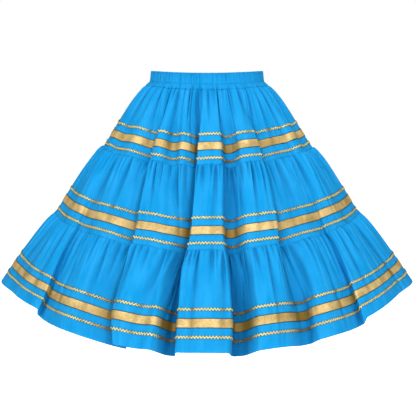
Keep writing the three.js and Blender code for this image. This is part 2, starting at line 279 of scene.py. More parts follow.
def smooth_skirt(azimuth, s):
    """The point at an azimuth in degrees and a distance s, and the outward direction there."""
    angle = np.radians(azimuth)
    out, down = along_meridian(angle, s)
    out_above, down_above = along_meridian(angle, s - CHORD / 2)
    out_below, down_below = along_meridian(angle, s + CHORD / 2)
    slope = np.arctan2(out_below - out_above, down_below - down_above)
    sine, cosine = np.sin(angle), np.cos(angle)
    x = (WAIST_HALF_WIDTH + out) * sine
    y = -(WAIST_HALF_DEPTH + out) * cosine
    z = RIM_HEIGHT - down - WAIST_DIP * cosine**2
    outward = np.stack([sine * np.cos(slope), -cosine * np.cos(slope), np.sin(slope)], axis=-1)
    return np.stack([x, y, z], axis=-1), outward


print("smooth hem at the hip:", smooth_skirt(90.0, HEM)[0].round(1), "mm")

# %% [markdown]
# ## The large folds
# Twenty valleys run down the skirt, ten in front and ten behind, each with its own row of numbers: its
# azimuth at six levels, its depth at four, how much steeper one wall is than the other, the width of a
# wall, how far the valley's bottom slides under the ridge beside its steep wall, and the power of its
# curve: a higher one gives a flat floor.

# %% List the valleys
LEVELS = (34.0, 154.0, 322.0, 495.5, 547.0)
AZIMUTH_LEVELS = (34.0, 154.0, 322.0, 395.0, 495.5, 547.0)
VALLEYS = [
    # azimuth at six levels, depth at ribbons and hem, steeper wall there, width, tuck, curve
    [(-90,) * 6, (5, 8, 12, 14), (0, 0, 0, 0), 3.4, 0, 2.3],
    [(-76, -76, -73, -72, -71, -70), (7, 7, 5, 4), (0.4, 0.5, 0.3, 0.2), 4.6, 0.4, 2.3],
    [(-60, -60, -55, -53, -50.5, -49.6), (6, 7, 12, 18), (-0.2, -0.8, -1, -1), 4.2, 2.0, 2.3],
    [(-38, -36, -31.5, -31, -30.2, -27.6), (19, 22, 28, 33), (1, 1, 1, 0.9), 3.6, 0.7, 2.8],
    [(-23, -22, -15, -17, -20, -21), (12, 6, 3, 3), (0, 0, 0, 0), 3.0, 0, 2.3],
    [(-8, -7, -8, -11.3, -11.5, -11.6), (20, 26, 40, 43), (1, 0.9, 0.1, 0.1), 2.3, 0.5, 4],
    [(14, 15, 10.6, 11.3, 10.8, 9.7), (20, 22, 41, 43), (0, -0.1, -0.1, 0), 2.9, 0.35, 4.5],
    [(36, 35.6, 32.8, 31.5, 29.8, 28.2), (20, 20, 25, 29), (-1, -0.8, 0.9, 0.7), 3.4, 0.8, 2.3],
    [(53, 53, 48.3, 47, 45.6, 44), (6, 7, 12, 18), (0.2, 0.8, 1, 1), 3.8, 2.0, 2.3],
    [(72, 71, 68, 67.5, 67, 67), (7, 7, 5, 4), (-0.5, -0.4, -0.3, 0), 4.6, 0.4, 2.3],
    [(90,) * 6, (5, 8, 12, 14), (0, 0, 0, 0), 3.4, 0, 2.3],
    [(106, 105, 108, 108.5, 109, 110), (10, 14, 20, 23), (0.5, 0.8, 0.6, 0.4), 3.5, 0.8, 2.3],
    [(125, 123, 127, 127.5, 128, 129), (14, 18, 27, 31), (-0.8, -1, -0.9, -0.5), 3.7, 0.9, 2.3],
    [(141, 142, 144, 145, 147, 146), (16, 19, 24, 28), (0.2, 0.6, 0.9, 0.6), 3.4, 0.6, 2.3],
    [(157, 158, 161, 162, 163, 165), (17, 23, 36, 40), (0.9, 1, 1, 0.7), 3.6, 0.7, 2.3],
    [(175, 176, 178, 178.5, 179, 181), (20, 20, 26, 31), (-0.5, -0.8, -0.3, 0), 3.8, 0.5, 2.3],
    [(193, 192, 194, 195, 196, 198), (18, 24, 37, 42), (-0.9, -1, -1, -0.7), 3.5, 0.7, 2.3],
    [(211, 212, 210, 211, 213, 215), (19, 19, 26, 30), (0.4, 0.7, 0.4, 0), 3.6, 0.6, 2.3],
    [(228, 230, 228, 228, 228, 227), (14, 19, 29, 34), (0.7, 1, 0.8, 0.5), 3.6, 0.9, 2.3],
    [(248, 248, 249, 249.5, 250, 251), (11, 14, 20, 23), (-0.6, -0.8, -0.5, -0.2), 3.8, 0.7, 2.3],
]
WALL_SPREAD = (1.6, 1.6, 1.3, 1.0, 1.1)
LOPSIDED, RIDGE_SWELL, CROWDING = 0.75, 0.22, 0.09
FOLDS, FRONT_FOLDS = len(VALLEYS), 10
print(FOLDS, "valleys,", FRONT_FOLDS, "of them in front")

# %% [markdown]
# ## From a few levels to every millimetre
# Between the levels the values are read off straight lines, and a moving average of 41 mm rounds the corners
# of those lines. Splines could do the same, but they overshoot where two levels differ much.

# %% Read the valleys at every millimetre
VALLEY_REACH = 20


def at_every_millimetre(values, levels=LEVELS):
    """Rows of values at the levels, read on straight lines at each whole millimetre from 0 to the
    hem, and averaged over 41 mm. The ends are continued in a straight line first, so that they stay."""
    lines = np.array([np.interp(np.arange(0, HEM + 1), levels, row) for row in values])
    return moving_average(lines, VALLEY_REACH, mode="reflect", reflect_type="odd")


azimuths = at_every_millimetre([row[0] for row in VALLEYS], AZIMUTH_LEVELS)
depths = np.maximum(at_every_millimetre([(0, *row[1]) for row in VALLEYS]), 0)
unequal = LOPSIDED * at_every_millimetre([(0, *row[2]) for row in VALLEYS])
widths = np.outer([row[3] for row in VALLEYS], at_every_millimetre([WALL_SPREAD])[0])
slides = depths * np.array([[row[4]] for row in VALLEYS]) * unequal / LOPSIDED
curves = np.array([row[5] for row in VALLEYS])
depths[:, : int(BAND_LENGTH)] = 0
slides[:, : int(BAND_LENGTH)] = 0
print("deepest valley:", round(depths.max(), 1), "mm")


def read(table, valley, s):
    """A valley's value at distance s, on the straight line between two whole millimetres."""
    above = np.clip(np.floor(s).astype(int), 0, table.shape[1] - 2)
    share = np.clip(s, 0, HEM) - above
    row = valley % FOLDS
    return table[row, above] * (1 - share) + table[row, above + 1] * share


# %% [markdown]
# ## Folding the skirt
# A turn counts folds round the skirt: 0 is the right hip, 10 the left one. From one valley to the next the
# cloth is pushed in by a bell shape, exp(-(a / w)^curve), with a the azimuth from the valley and w the
# width of its wall. The same bell slides the valley's bottom sideways, which tucks it under a ridge.

# %% Fold the smooth skirt
def valleys_at(turn, s):
    """The azimuth at a turn and a distance, how deep the nearest four valleys press it in (the sum of depth *
    bell), the ridge's swell (22% of its valleys' depth * sin^2(pi share)), and how far it slides sideways."""
    fold = np.floor(turn).astype(int)
    even = turn - fold
    share = even - CROWDING * np.sin(2 * np.pi * even)
    places = {v: read(azimuths, fold + v, s) + 360 * ((fold + v) // FOLDS) for v in (-1, 0, 1, 2)}
    azimuth = places[0] + (places[1] - places[0]) * share
    mean_depth = read(depths, fold, s) * (1 - share) + read(depths, fold + 1, s) * share
    pressed, slide = 0, 0
    for v, place in places.items():
        away = azimuth - place
        width = read(widths, fold + v, s) * (1 - np.sign(away) * read(unequal, fold + v, s))
        bell = np.exp(-((np.abs(away) / width) ** curves[(fold + v) % FOLDS]))
        pressed = pressed + read(depths, fold + v, s) * bell
        slide = slide + read(slides, fold + v, s) * bell
    return azimuth, pressed, RIDGE_SWELL * mean_depth * np.sin(np.pi * share) ** 2, slide


def folded(turn, s, lift=0.0):
    """The outer face at a turn and a distance: smooth point + outward * (swell - pressed + lift) + sideways
    * slide."""
    turn, s = np.broadcast_arrays(np.asarray(turn, float), np.asarray(s, float))
    azimuth, pressed, swell, slide = valleys_at(turn, s)
    point, outward = smooth_skirt(azimuth, s)
    angle = np.radians(azimuth)
    sideways = np.stack([np.cos(angle), np.sin(angle), np.zeros_like(angle)], axis=-1)
    return point + outward * (swell - pressed + lift)[..., None] + sideways * slide[..., None]


print("folded hem at its front:", folded(np.array([5.5]), HEM)[0].round(1), "mm")

# %% [markdown]
# ## Measuring the cloth round a tier
# Gathers lie evenly along the cloth and not evenly in azimuth. So the length of each tier is measured round
# its folds at 7/10 of its height, and a table gives the share of that length at every turn. It works both
# ways: it finds the gathers at a turn, and it spaces the columns of a mesh evenly, which puts enough of them
# on the steep walls.

# %% Measure each tier round its folds
FINE = np.linspace(0, FOLDS, 16001)
MEASURED_AT = 0.7


def length_round(s):
    """The length of cloth from the right hip to each turn of FINE at distance s: summed short chords."""
    steps = np.linalg.norm(np.diff(folded(FINE, s), axis=0), axis=1)
    return np.concatenate([[0], np.cumsum(steps)])


for name, tier in TIERS.items():
    tier["round"] = length_round(tier["start"] + MEASURED_AT * (tier["end"] - tier["start"]))
    tier["share"] = tier["round"] / tier["round"][-1]
    print(name, "tier measures", round(tier["round"][-1]), "mm round at 7/10 of its height")


def share_round(tier, turn):
    """Which share of the way round the cloth a turn is, from 0 to 1."""
    return np.interp(np.mod(turn, FOLDS), FINE, tier["share"])


def even_turns(tier, first, last, count):
    """Turns from first to last, the same length of cloth apart."""
    ends = np.interp([first, last], FINE, tier["round"])
    turns = np.interp(np.linspace(*ends, count), tier["round"], FINE)
    turns[[0, -1]] = first, last
    return turns


# %% [markdown]
# ## Gathers
# A gathering thread draws cloth into small round puffs with narrow grooves between them. The absolute value
# of a cosine has just that profile. Further down, neighbours merge: a second layer has half as many puffs
# and reaches further, and a third has a quarter as many and runs on as soft waves. Slow uneven lines round
# the skirt vary the spacing, height and reach of all of them, because no two gathers are alike.

# %% Draw up the gathers
GATHERS = {
    "upper": {"count": 72, "heights": (6.5, 5.0, 3.5), "reaches": (72, 100, 150), "seed": 3},
    "middle": {"count": 144, "heights": (8.0, 7.0, 5.5), "reaches": (40, 72, 120), "seed": 5},
    "lower": {"count": 220, "heights": (7.5, 7.5, 6.0), "reaches": (34, 66, 120), "seed": 8},
}
ROUNDING, PUFF_MIDDLE = 0.03, 0.66
DRIFT, JITTER = 0.30, 0.16
UNEVEN_HEIGHT, UNEVEN_REACH = 0.30, 0.35
PINCH, PINCH_REACH, LAYER_START, LAYER_SHIFT = 0.5, 3.0, 14.0, 0.7


def wander(share, waves, seed):
    """A smooth uneven line from about -1 to 1 that closes on itself: the mean of eight sine waves, each
    with a whole number of turns near waves and a phase drawn from the seed."""
    draw = np.random.default_rng(seed)
    turns = draw.integers(max(1, int(0.5 * waves)), int(1.5 * waves) + 2, 8)
    phases = draw.uniform(0, 2 * np.pi, 8)
    return sum(np.sin(2 * np.pi * t * share + p) for t, p in zip(turns, phases)) / 3.2


def puff(phase, middle):
    """The profile of one gather, round on top and narrow below: sqrt(cos(phase)^2 + 0.03) - middle."""
    return np.sqrt(np.cos(phase) ** 2 + ROUNDING) - middle


def gathers(name, share, below):
    """Height of the gathers at a share of the way round and a distance below the seam. Each layer is
    height * puff(phase) * exp(-(below / reach)^2), with half the last one's phase, and the second and third
    grow from the seam by 1 - exp(-below / (14 * layer)). The seam pinches all by 1 - 0.5 exp(-below / 3)."""
    plan = GATHERS[name]
    count, seed = plan["count"], plan["seed"]
    slow, quick = wander(share, count / 5, seed), wander(share, count / 2, seed + 1)
    phase = np.pi * (count * share + DRIFT * slow + JITTER * quick)
    rise = 1 - PINCH * np.exp(-below / PINCH_REACH)
    total = np.zeros(np.broadcast(share, below).shape)
    for layer, (height, reach) in enumerate(zip(plan["heights"], plan["reaches"])):
        uneven = 1 + UNEVEN_HEIGHT * wander(share, count / 2.5, seed + 10 + layer)
        longer = reach * (1 + UNEVEN_REACH * wander(share, count / 3, seed + 20 + layer))
        shape = puff(phase / 2**layer + LAYER_SHIFT * layer, PUFF_MIDDLE)
        grown = 1 - np.exp(-below / (LAYER_START * layer)) if layer else 1
        total = total + height * uneven * shape * grown * np.exp(-((below / longer) ** 2))
    return total * rise


for name in GATHERS:
    print(name, "gathers rise to", round(gathers(name, FINE / FOLDS, 10.0).max(), 1), "mm")

# %% [markdown]
# ## Every point of the cloth
# Each tier is sewn on from inside: its top edge is tucked behind the tier above, and the seam pulls both in
# a little. Below the seam the cloth rolls out into its gathers within a few millimetres, and the edge above
# ripples faintly over them. The waistband's frill is the head of the upper tier's own gathers, under the
# casing's finer puckers. With these, the surface of the skirt is one function of a turn and a distance.

# %% Put the surface together
GROOVE, GROOVE_REACH, RIPPLE, RIPPLE_REACH = 0.4, 1.8, 0.4, 6.0
TUCKED, ROLL = 0.7, 1.3
ABOVE = {"upper": "band", "middle": "upper", "lower": "middle"}
BELOW = {"upper": "middle", "middle": "lower"}
SIDE_GROOVE, SIDE_REACH = 0.5, 1.6
PUCKERS, PUCKER_HEIGHT, PUCKER_MIDDLE = 112, 1.9, 0.65
PUCKER_DRIFT, PUCKER_JITTER, UNEVEN_PUCKER = 0.35, 0.2, 0.4
FRILL_GATHERS, FRILL_BULGE, FRILL_GROOVE = 1.1, 0.5, 0.4
TOP_ROUND, TOP_REACH, DENT, DENT_REACH = 1.2, 0.8, 0.8, 1.2


def band_lift(turn, s):
    """Height of the waistband: puffs that swell as sin(pi s / 22) in the casing, and grow into the upper
    tier's gathers below it, less the round top edge, the dent of the stitches and the seam's groove."""
    share = share_round(TIERS["upper"], turn)
    slow, quick = wander(share, PUCKERS / 6, 31), wander(share, PUCKERS / 2, 32)
    phase = np.pi * (PUCKERS * share + PUCKER_DRIFT * slow + PUCKER_JITTER * quick)
    pucker = puff(phase, PUCKER_MIDDLE) * (1 + UNEVEN_PUCKER * wander(share, 30, 33))
    in_casing = np.sin(np.pi * np.clip(s / CASING, 0, 1))
    in_frill = np.clip((s - CASING) / (BAND_LENGTH - CASING), 0, 1)
    lift = PUCKER_HEIGHT * pucker * (0.3 + 0.7 * in_casing + 0.3 * in_frill) * (1 - 0.3 * in_frill)
    frill = gathers("upper", share, 0 * s) * in_frill * FRILL_GATHERS
    lift = lift + frill + FRILL_BULGE * np.sin(np.pi * in_frill)
    dent = DENT * np.exp(-(((s - CASING) / DENT_REACH) ** 2))
    lift = lift - TOP_ROUND * np.exp(-s / TOP_REACH) - dent
    return lift - FRILL_GROOVE * np.exp(-(((s - BAND_LENGTH) / GROOVE_REACH) ** 2))


def tier_lift(name, turn, s):
    """Height of a tier's gathers, and near its lower edge the ripple of those below, less the seam's
    groove: ripple * exp(-above / reach) and groove * exp(-(above / reach)^2)."""
    if name == "band":
        return band_lift(turn, s)
    tier = TIERS[name]
    share = share_round(tier, turn)
    lift = gathers(name, share, np.maximum(s - tier["start"], 0))
    if name in BELOW:
        above = np.maximum(tier["end"] - s, 0)
        ripple = RIPPLE * gathers(BELOW[name], share_round(TIERS[BELOW[name]], turn), 0 * s)
        lift = lift + ripple * np.exp(-above / RIPPLE_REACH) - GROOVE * np.exp(-((above / GROOVE_REACH) ** 2))
    return lift


def cloth(name, turn, s):
    """The cloth of a tier, in millimetres: folded(turn, s) lifted by tier_lift. Where it goes behind the
    seam above it, by exp(-(below / roll)^2), it lies TUCKED under that tier's lower edge."""
    tier = TIERS[name]
    turn, s = np.broadcast_arrays(np.asarray(turn, float), np.asarray(s, float))
    lift = tier_lift(name, turn, s)
    edge = tier_lift(ABOVE[name], turn, np.minimum(s, tier["start"])) - TUCKED
    behind = np.exp(-((np.maximum(s - tier["start"], 0) / ROLL) ** 2))
    lift = lift + (edge - lift) * behind
    around = share_round(tier, turn) * tier["round"][-1]
    side = np.interp(FRONT_FOLDS, FINE, tier["round"])
    nearest = np.minimum(np.minimum(around, tier["round"][-1] - around), np.abs(around - side))
    lift = lift - SIDE_GROOVE * np.exp(-((nearest / SIDE_REACH) ** 2))
    return folded(turn, s, lift)


# %% [markdown]
# ## Painted shade in the folds
# Deep folds of real cloth look darker and deeper in colour than these soft lamps alone leave them. So each
# point keeps how deep it lies, and the materials paint shade there: their colour darkens in the valleys, in
# the grooves between gathers, and over the waistband, most at its top edge.

# %% Work out how much shade to paint at a point
GROOVE_DEPTH = {"band": 1.4, "upper": 3.2, "middle": 3.2, "lower": 3.0}
FULL_PRESS, PRESS_CURVE, SIDE_LIGHT, GROOVE_SHADE = 36.0, 1.4, 0.85, 0.6
BAND_SHADE, RIM_SHADE, RIM_REACH = 0.1, 0.3, 7.0


def painted_shade_amount(name, turn, s):
    """How much shade the materials paint into the colour: from 0 on a ridge to 1 at the bottom of a deep
    valley.
    The parts left by the valley, 1 - lit * (pressed / 36)^1.4, and by a groove between gathers, 1 - 0.6 *
    sunk / GROOVE_DEPTH, are multiplied and taken from 1. The side valleys are open and see more light: lit is
    1 - 0.85 * sin(azimuth)^2. On the waistband the groove's part is at least 0.1 + 0.3 * exp(-(s / 7)^2):
    painted shade over the whole band, most at its top edge."""
    turn, s = np.broadcast_arrays(np.asarray(turn, float), np.asarray(s, float))
    azimuth, pressed = valleys_at(turn, s)[:2]
    lit = 1 - SIDE_LIGHT * np.sin(np.radians(azimuth)) ** 2
    pressed = lit * np.clip(pressed / FULL_PRESS, 0, 1) ** PRESS_CURVE
    sunk = GROOVE_SHADE * np.clip(-tier_lift(name, turn, s) / GROOVE_DEPTH[name], 0, 1)
    # Painted shade over the whole waistband, darker towards its top edge.
    if name == "band":
        sunk = np.maximum(sunk, BAND_SHADE + RIM_SHADE * np.exp(-((s / RIM_REACH) ** 2)))
    return 1 - (1 - pressed) * (1 - sunk)


print("deepest at the lower ribbon:", round(painted_shade_amount("lower", FINE, TIERS["lower"]["ribbon"]).max(), 2))

# %% [markdown]
# ## Normals
# A wall, a ribbon and a stitch all stand off the cloth along its normal. Blender could work normals out from
# a finished mesh, but these are needed before there is one, so they come from the surface itself.

# %% Find the normals
STEP_DOWN, STEP_ROUND = 0.6, 0.002


def unit(vectors):
    """The same directions with a length of 1."""
    return vectors / np.maximum(np.linalg.norm(vectors, axis=-1, keepdims=True), 1e-9)


def with_normals(surface, turn, s, low, high):
    """Points of surface(turn, s) and their outward normals: the way down the cloth crossed with the way
    round it, both from differences of a small step that stay between the distances low and high."""
    turn, s = np.broadcast_arrays(np.asarray(turn, float), np.asarray(s, float))
    down = surface(turn, np.minimum(s + STEP_DOWN, high)) - surface(turn, np.maximum(s - STEP_DOWN, low))
    across = surface(turn + STEP_ROUND, s) - surface(turn - STEP_ROUND, s)
    return surface(turn, s), unit(np.cross(down, across))


# %% [markdown]
# ## A wall of cloth
# Every cloth piece here is a thin closed skin: an outer grid of points, an inner one a thread's thickness
# behind it, and rims that join them. It could be a single sheet with a Solidify modifier. Making both grids
# directly gives control of the thickness, such as a double layer at the hem. The UV map holds real metres
# along and down the cloth, so a weave has the right scale on every piece.

# %% Build a closed wall from two grids
def corners(*places):
    """Four corners of many faces, each given as (side, row, column), as one array of faces x 4 x 3."""
    return np.stack([np.stack(np.broadcast_arrays(*place), axis=-1) for place in places], axis=1)


def wall(name, outer, inner, along, downward, depth=None, ring=False):
    """A closed mesh from an outer and an inner grid (rows x columns x 3, in millimetres). along and downward
    are the grid's UV values in millimetres, and along has one more column where the grid is a ring. depth,
    how much shade the materials paint into the colour, is kept on the outer points as an attribute, and the
    inner ones have half of it."""
    rows, columns = outer.shape[:2]
    spans = columns if ring else columns - 1
    r, c = (grid.ravel() for grid in np.meshgrid(np.arange(rows - 1), np.arange(spans), indexing="ij"))
    edge, last = np.arange(spans), rows - 1
    faces = [
        corners((0, r, c), (0, r + 1, c), (0, r + 1, c + 1), (0, r, c + 1)),
        corners((1, r, c), (1, r, c + 1), (1, r + 1, c + 1), (1, r + 1, c)),
        corners((0, 0, edge), (0, 0, edge + 1), (1, 0, edge + 1), (1, 0, edge)),
        corners((0, last, edge + 1), (0, last, edge), (1, last, edge), (1, last, edge + 1)),
    ]
    if not ring:
        side, end = np.arange(rows - 1), columns - 1
        faces.append(corners((0, side + 1, 0), (0, side, 0), (1, side, 0), (1, side + 1, 0)))
        faces.append(corners((0, side, end), (0, side + 1, end), (1, side + 1, end), (1, side, end)))
    faces = np.concatenate(faces)
    number = (faces[..., 0] * rows + faces[..., 1]) * columns + faces[..., 2] % columns
    points = np.concatenate([outer.reshape(-1, 3), inner.reshape(-1, 3)]) * MM
    uv = np.stack([along[faces[..., 1], faces[..., 2]], downward[faces[..., 1], faces[..., 2]]], axis=-1) * MM
    piece = new_piece(name, points, number, uv)
    if depth is not None:
        # This attribute holds how much shade the materials paint into the colour.
        layer = piece.data.attributes.new("depth", "FLOAT", "POINT")
        layer.data.foreach_set("value", np.concatenate([depth.ravel(), depth.ravel() / 2]).astype(np.float32))
    return piece


def new_piece(name, points, faces, uv):
    """An object at the origin with these points in metres, four-cornered faces and a UV value per corner."""
    mesh = bpy.data.meshes.new(name)
    mesh.vertices.add(len(points))
    mesh.vertices.foreach_set("co", points.astype(np.float32).ravel())
    mesh.loops.add(faces.size)
    mesh.loops.foreach_set("vertex_index", faces.astype(np.int32).ravel())
    mesh.polygons.add(len(faces))
    mesh.polygons.foreach_set("loop_start", np.arange(0, faces.size, 4, dtype=np.int32))
    mesh.polygons.foreach_set("use_smooth", np.ones(len(faces), bool))
    mesh.update(calc_edges=True)
    mesh.validate()
    layer = mesh.uv_layers.new(name="cloth")
    layer.data.foreach_set("uv", uv.astype(np.float32).ravel())
    piece = bpy.data.objects.new(name, mesh)
    bpy.context.scene.collection.objects.link(piece)
    print(f"{name}: {2 * len(faces)} triangles")
    return piece


# %% [markdown]
# ## The six panels
# Each tier is a front and a back panel that meet in the side seams. The rows of a panel crowd towards its
# gathered seam, where the shape changes fastest, and lie close to each edge, which keeps the edges crisp.
# The hem is turned up once, so its wall is twice as thick, with a faint ridge where the fold ends.

# %% Weave the panels
CLOTH, ALLOWANCE = 0.8, 5.0
HEM_TURN, HEM_EXTRA = 15.0, 0.8
PANEL_COLUMNS = {"upper": 380, "middle": 600, "lower": 770}
PANEL_ROWS, FIRST_ROW, ROW_CROWDING = 36, 0.7, 1.45
ROWS_AT_SEAM, ROWS_AT_EDGE = np.array([-ALLOWANCE, -2, 0, 1.6, 2.6]), np.array([0.35, 1.5, 3])
EDGE_THINNING, EDGE_REACH = 0.35, 1.5
HEM_RIDGE, HEM_RIDGE_REACH, HEM_FOLD_REACH = 0.25, 40.0, 0.5


def panel_rows(name):
    """Distances of a panel's rows: a few behind the seam, start + length * even^1.45 below it, and a few
    more close to the lower edge."""
    start, end = TIERS[name]["start"], TIERS[name]["end"] - SEAM_GAP / 2
    below = start + FIRST_ROW + (end - start - FIRST_ROW) * np.linspace(0, 1, PANEL_ROWS) ** ROW_CROWDING
    return np.unique(np.concatenate([start + ROWS_AT_SEAM, below, end - ROWS_AT_EDGE]))


def panel(name, half):
    """One panel as a wall: its outer face is cloth(name, turn, s), and its inner one lies CLOTH behind it,
    a little less at the lower edge. The hem is thicker by HEM_EXTRA / (1 + exp(-(s - fold) / 0.5))."""
    tier = TIERS[name]
    first = 0 if half == "front" else FRONT_FOLDS
    turns = even_turns(tier, first, first + FRONT_FOLDS, PANEL_COLUMNS[name])[None, :]
    s = panel_rows(name)[:, None]
    points, normals = with_normals(partial(cloth, name), turns, s, s[0, 0], s[-1, 0])
    thick = CLOTH - EDGE_THINNING * np.exp(-(tier["end"] - s) / EDGE_REACH)
    if name == "lower":
        turned = 1 / (1 + np.exp(-(s - (HEM - HEM_TURN)) / HEM_FOLD_REACH))
        thick = CLOTH + HEM_EXTRA * turned
        points = points + normals * (HEM_RIDGE * turned * np.exp(-(HEM - s) / HEM_RIDGE_REACH))[..., None]
    inner = points - normals * thick[..., None]
    gap = (-1 if half == "front" else 1) * SIDE_GAP / 2
    for grid in (points, inner):
        grid[:, [0, -1], 1] = gap
    along = np.interp(turns, FINE, tier["round"]) + 0 * s
    # How much shade the materials paint into the colour at each point.
    depth = painted_shade_amount(name, turns, s)
    piece = wall(f"{name}_tier_{half}_cloth", points, inner, along, s + 0 * along, depth)
    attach(piece, "root")
    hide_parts(f"{name}_tier_{half}")
    tier[half] = piece
    return piece


panels = [panel(name, half) for name in TIERS for half in ("front", "back")]

# %% [markdown]
# ## The waistband
# An elastic in a casing pulls the top of the skirt into fine upright puckers. They are flattest at the
# folded top edge and at the row of stitches, and grow again in the short frill below it. The band is a
# closed ring, puckered on its inner face too.

# %% Pucker the waistband
BAND_WALL, BAND_COLUMNS = 2.4, 840
CASING_ROWS = (0, 0.4, 1, 2, 4, 7, 10, 13, 16, 19, 20.6, 21.4, 22)
FRILL_ROWS = (22.6, 23.4, 25, 27, 29, 31, 32.6, 33.4, 33.85)
BAND_ROWS = np.array([*CASING_ROWS, *FRILL_ROWS])


def band(turn, s):
    """The waistband's outer face."""
    return folded(turn, s, band_lift(*np.broadcast_arrays(turn, s)))


band_turns = even_turns(TIERS["upper"], 0, FOLDS, BAND_COLUMNS + 1)
s, turns = BAND_ROWS[:, None], band_turns[None, :-1]
points, normals = with_normals(band, turns, s, 0.0, BAND_ROWS[-1])
layers = 1 / (1 + np.exp((s - CASING - 2) / 0.7))
ends = 0.9 * np.exp(-s / 0.8) + 0.35 * np.exp((s - BAND_LENGTH) / 1.5)
inner = points - normals * (CLOTH + (BAND_WALL - CLOTH) * layers - ends)[..., None]
waist_along = np.interp(band_turns, FINE, TIERS["upper"]["round"])[None, :] + 0 * s
# The second value is how much shade the materials paint into the waistband's colour.
band_down, band_painted_shade = s + 0 * waist_along, painted_shade_amount("band", turns, s)
waistband = wall("waistband_cloth", points, inner, waist_along, band_down, band_painted_shade, ring=True)
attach(waistband, "root")
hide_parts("waistband")

# %% [markdown]
# ## Ribbons
# A woven ribbon is stitched down along both edges and follows the cloth. It is worked out from the same
# surface as the panel under it, a third of a millimetre above it, so it dips into every valley. Its UV map
# runs from 0 to 18 mm across, which lets the material find its edges.

# %% Lay the ribbons
RIBBON_WIDTH, RIBBON_THICK, TRIM_LIFT = 18.0, 0.6, 0.3
RIBBON_COLUMNS = {"upper": 600, "middle": 900, "lower": 1200}
RIBBON_ROWS, RIBBON_THINNING = np.array([-1, -0.92, 0, 0.92, 1]), np.array([0.25, 0, 0, 0, 0.25])


def trim(title, name, turn, s, rise, along, width, depth):
    """A ring of trim on a tier: its inner face stands TRIM_LIFT off the cloth, its outer one rise more."""
    tier = TIERS[name]
    points, normals = with_normals(partial(cloth, name), turn, s, tier["start"], tier["end"])
    under, over = points + normals * TRIM_LIFT, points + normals * (TRIM_LIFT + rise[:, None, None])
    piece = wall(title, over, under, along, width, depth, ring=True)
    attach(piece, "root")
    return piece


def ribbon(name):
    """A ring of ribbon round a tier, thinner along both edges."""
    tier = TIERS[name]
    ends = even_turns(tier, 0, FOLDS, RIBBON_COLUMNS[name] + 1)
    across = RIBBON_ROWS[:, None] * RIBBON_WIDTH / 2
    turns, s = ends[None, :-1], tier["ribbon"] + across
    along = np.interp(ends, FINE, tier["round"])[None, :] + 0 * s
    # The second value is how much shade the materials paint into the ribbon's colour.
    width, depth = across + RIBBON_WIDTH / 2 + 0 * along, painted_shade_amount(name, turns, s)
    piece = trim(f"{name}_gold_ribbon", name, turns, s, RIBBON_THICK - RIBBON_THINNING, along, width, depth)
    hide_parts(f"{name}_ribbon")
    return piece


ribbons = {name: ribbon(name) for name in TIERS}

# %% [markdown]
# ## Rickrack
# Rickrack is a narrow flat braid woven to run in waves. Its middle line is a triangle wave with soft tips,
# 5.7 mm from crest to crest: a sine less a ninth of its third harmonic. The braid is laid out flat first, as
# length along the cloth and distance down it, and each of its points is then looked up on the folded cloth.
# That keeps the waves even in every fold. Both edges are the middle line moved straight up and down, so
# that they never cross at the tips.

# %% Lay the rickrack
# The braid is 2 * HALF_BRAID wide, wider than its gold: the outer 0.65 mm on each side is a dark rim of
# painted shadow.
WAVE, SWING, HALF_BRAID, RICKRACK_THICK = 5.7, 1.6, 2.3, 1.3
STEPS_PER_WAVE, TIP_SHARE, BRAID_SECTION = 8, 0.9, np.array([0.35, 1.0, 0.35])
RICKRACK_FROM_RIBBON = 24.5


def rickrack(name, place):
    """A ring of rickrack: s = centre + 0.9 * swing * (sin(a) - sin(3 a) / 9) + across, where a grows by a
    full turn per wave of cloth. Its section is a low ridge: raised at the middle and thin at both edges."""
    tier = TIERS[name]
    centre = tier["ribbon"] + (-1 if place == "top" else 1) * RICKRACK_FROM_RIBBON
    lengths = length_round(centre)
    waves = round(lengths[-1] / WAVE)
    x = np.linspace(0, lengths[-1], waves * STEPS_PER_WAVE + 1)
    swung = 2 * np.pi * waves * x / lengths[-1]
    middle = SWING * (np.sin(swung) - np.sin(3 * swung) / 9) * TIP_SHARE
    across = (np.array([-1, 0, 1]) * HALF_BRAID)[:, None]
    turn = np.interp(x, lengths, FINE)[None, :-1]
    s = centre + middle[:-1] + across
    along, width = np.tile(x, (3, 1)), across + HALF_BRAID + 0 * x
    # The second value is how much shade the materials paint into the rickrack's colour.
    rise, depth = BRAID_SECTION * RICKRACK_THICK, painted_shade_amount(name, turn, centre + across)
    piece = trim(f"{name}_rickrack_{place}", name, turn, s, rise, along, width, depth)
    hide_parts(f"{name}_braid_{place}")
    return piece


rickracks = {name: [rickrack(name, place) for place in ("top", "bottom")] for name in TIERS}

# %% [markdown]
# ## Stitches
# Rows of machine stitches hold the casing and the hem. One stitch is a short spindle of thread: four small
# rings of four points. All the stitches of a row are one mesh, worked out as a whole array of stitches,
# rings and points.

# %% Sew the stitch rows
THREAD, STITCH, STITCH_GAP, THREAD_LIFT = 0.35, 2.4, 1.1, 0.12
RING_PLACES, RING_SIZES, RING_POINTS = np.array([-1, -0.6, 0.6, 1.0]), np.array([0.3, 1, 1, 0.3]), 4
HEM_STITCHES_FROM_TURN = 1.5


